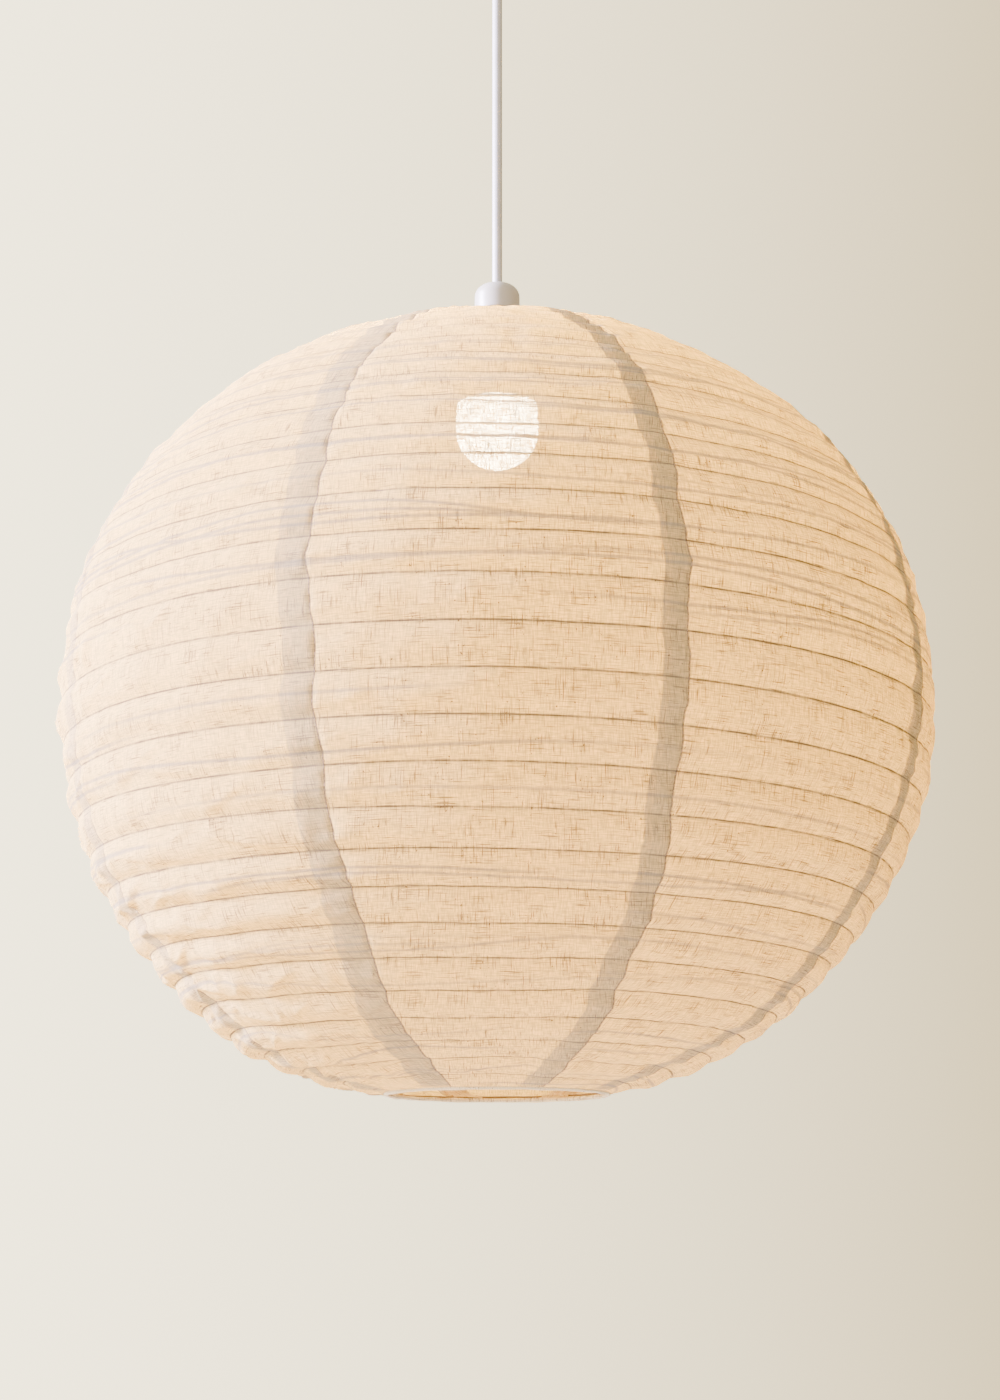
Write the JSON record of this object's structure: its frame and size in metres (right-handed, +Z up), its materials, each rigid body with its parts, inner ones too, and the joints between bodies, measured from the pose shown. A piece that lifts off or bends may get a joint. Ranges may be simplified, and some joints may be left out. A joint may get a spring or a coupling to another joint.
{
  "type": "pendant lantern",
  "caption": "Round cloth pendant lantern with sewn gores on a helical wire rib, a wire expander, a lampholder with bulb, and a straight cord to a ceiling rose.",
  "frame": {"origin": "centre of the ceiling rose's flat back, where it meets the ceiling", "axes": "+Z up into the ceiling; -Y towards the viewer; the lantern hangs down along -Z"},
  "size_m": [0.5974, 0.5974, 0.8829],
  "materials": {
    "linen": "plain-woven linen with slubs, lit from inside",
    "tape": "folded linen seam allowance and hem",
    "spring_steel": "plated spring wire",
    "rib_wire": "fine lacquered wire",
    "zinc_plate": "zinc plated",
    "white_plastic": "satin moulded",
    "ceramic": "white steatite",
    "brass": "bright pressed",
    "lit_diffuser": "frosted, lit",
    "cord_sheath": "smooth white round flex"
  },
  "bodies": {
    "root": {"rose_base": "zinc_plate", "rose_cover": "white_plastic", "cover_screw_right": "zinc_plate", "cover_screw_left": "zinc_plate", "cord_grip": "white_plastic", "grip_nut": "white_plastic", "terminal_block": "white_plastic"},
    "cord": {"cord": "cord_sheath"},
    "holder": {"holder_cap": "white_plastic", "holder_body": "white_plastic", "socket_core": "ceramic", "screw_shell": "brass", "centre_contact": "brass"},
    "collar": {"shade_collar": "white_plastic"},
    "bulb_base": {"bulb_cap": "spring_steel", "bulb_contact": "brass"},
    "bulb": {"bulb_housing": "white_plastic", "bulb_diffuser": "lit_diffuser"},
    "shade": {"expander_bridge": "spring_steel", "top_ring": "spring_steel", "top_hem": "tape", "rib_wire": "rib_wire", "gore_1": "linen", "gore_2": "linen", "gore_3": "linen", "gore_4": "linen", "gore_5": "linen", "gore_6": "linen", "gore_7": "linen", "gore_8": "linen", "seam_band_1": "tape", "seam_band_2": "tape", "seam_band_3": "tape", "seam_band_4": "tape", "seam_band_5": "tape", "seam_band_6": "tape", "seam_band_7": "tape", "seam_band_8": "tape"},
    "leg_right": {"leg_right": "spring_steel"},
    "leg_left": {"leg_left": "spring_steel"},
    "bottom": {"bottom_ring": "spring_steel", "bottom_hem": "tape"}
  },
  "joints": [
    {"name": "cord_swing", "type": "hinge", "parent": "root", "child": "cord", "pos_m": [0, 0, -0.05], "axis": [0, 1, 0], "range_deg": [-12, 12]},
    {"name": "holder_tilt", "type": "hinge", "parent": "cord", "child": "holder", "pos_m": [0, 0, -0.30095], "axis": [1, 0, 0], "range_deg": [-10, 10]},
    {"name": "shade_turn", "type": "hinge", "parent": "holder", "child": "shade", "pos_m": [0, 0, -0.34945], "axis": [0, 0, 1], "continuous": true},
    {"name": "collar_screw", "type": "slide", "parent": "holder", "child": "collar", "axis": [0, 0, 1], "range_m": [-0.012, 0]},
    {"name": "bulb_travel", "type": "slide", "parent": "holder", "child": "bulb_base", "axis": [0, 0, 1], "range_m": [-0.01814, 0]},
    {"name": "bulb_turn", "type": "hinge", "parent": "bulb_base", "child": "bulb", "pos_m": [0, 0, -0.34945], "axis": [0, 0, 1], "range_deg": [-1801, 0]},
    {"name": "squeeze_right", "type": "hinge", "parent": "shade", "child": "leg_right", "pos_m": [0.066, 0, -0.35185], "axis": [0, 1, 0], "range_deg": [0, 3], "stiffness_Nm_per_rad": 0.8, "springref_deg": -1.15},
    {"name": "squeeze_left", "type": "hinge", "parent": "shade", "child": "leg_left", "pos_m": [-0.066, 0, -0.35185], "axis": [0, 1, 0], "range_deg": [-3, 0]},
    {"name": "collapse", "type": "slide", "parent": "shade", "child": "bottom", "axis": [0, 0, 1], "range_m": [0, 0.4886], "deforming": ["gore_1", "gore_2", "gore_3", "gore_4", "gore_5", "gore_6", "gore_7", "gore_8", "seam_band_1", "seam_band_2", "seam_band_3", "seam_band_4", "seam_band_5", "seam_band_6", "seam_band_7", "seam_band_8", "rib_wire"]}
  ],
  "couplings": [
    {"joint": "bulb_turn", "follows": "bulb_travel", "rad_per_m": 1731.4},
    {"joint": "squeeze_left", "follows": "squeeze_right", "ratio": -1}
  ]
}
